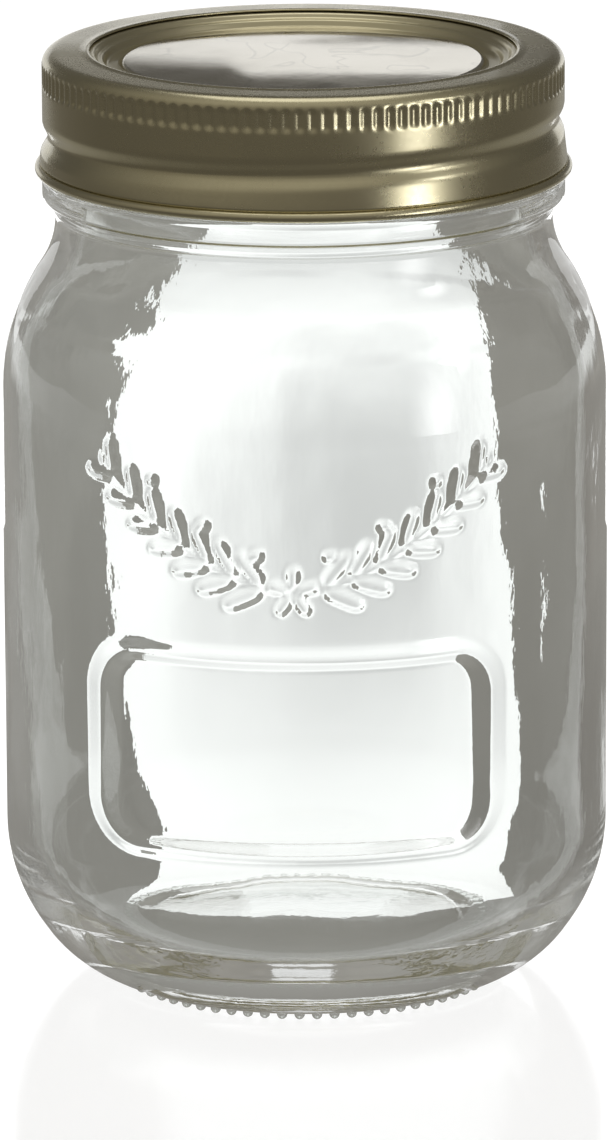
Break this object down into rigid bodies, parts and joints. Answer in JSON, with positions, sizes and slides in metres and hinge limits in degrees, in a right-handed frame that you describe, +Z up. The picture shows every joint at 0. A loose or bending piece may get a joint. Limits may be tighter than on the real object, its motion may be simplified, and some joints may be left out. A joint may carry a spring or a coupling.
{
  "type": "glass storage jar",
  "caption": "Round clear glass storage jar with sloping shoulders, a raised label outline, a ribbed metal screw band and a flat lid disc.",
  "frame": {"origin": "on the jar's axis, in the plane that the bumps under the base stand on (bottom centre of the whole)", "axes": "+Z up along the jar's axis towards the lid, -Y out of the front through the middle of the label outline, +X to the right of the front"},
  "size_m": [0.086, 0.0867, 0.1343],
  "materials": {
    "clear_glass": "clear pressed glass with a faint grey-green tint, slightly wavy inside",
    "band_metal": "satin gold-lacquered tinplate, pale warm bronze",
    "disc_metal": "brighter, nearly mirror-like gold-lacquered tinplate"
  },
  "bodies": {
    "root": {"glass_jar": "clear_glass", "screw_band": "band_metal", "lid_disc": "disc_metal"}
  },
  "joints": []
}
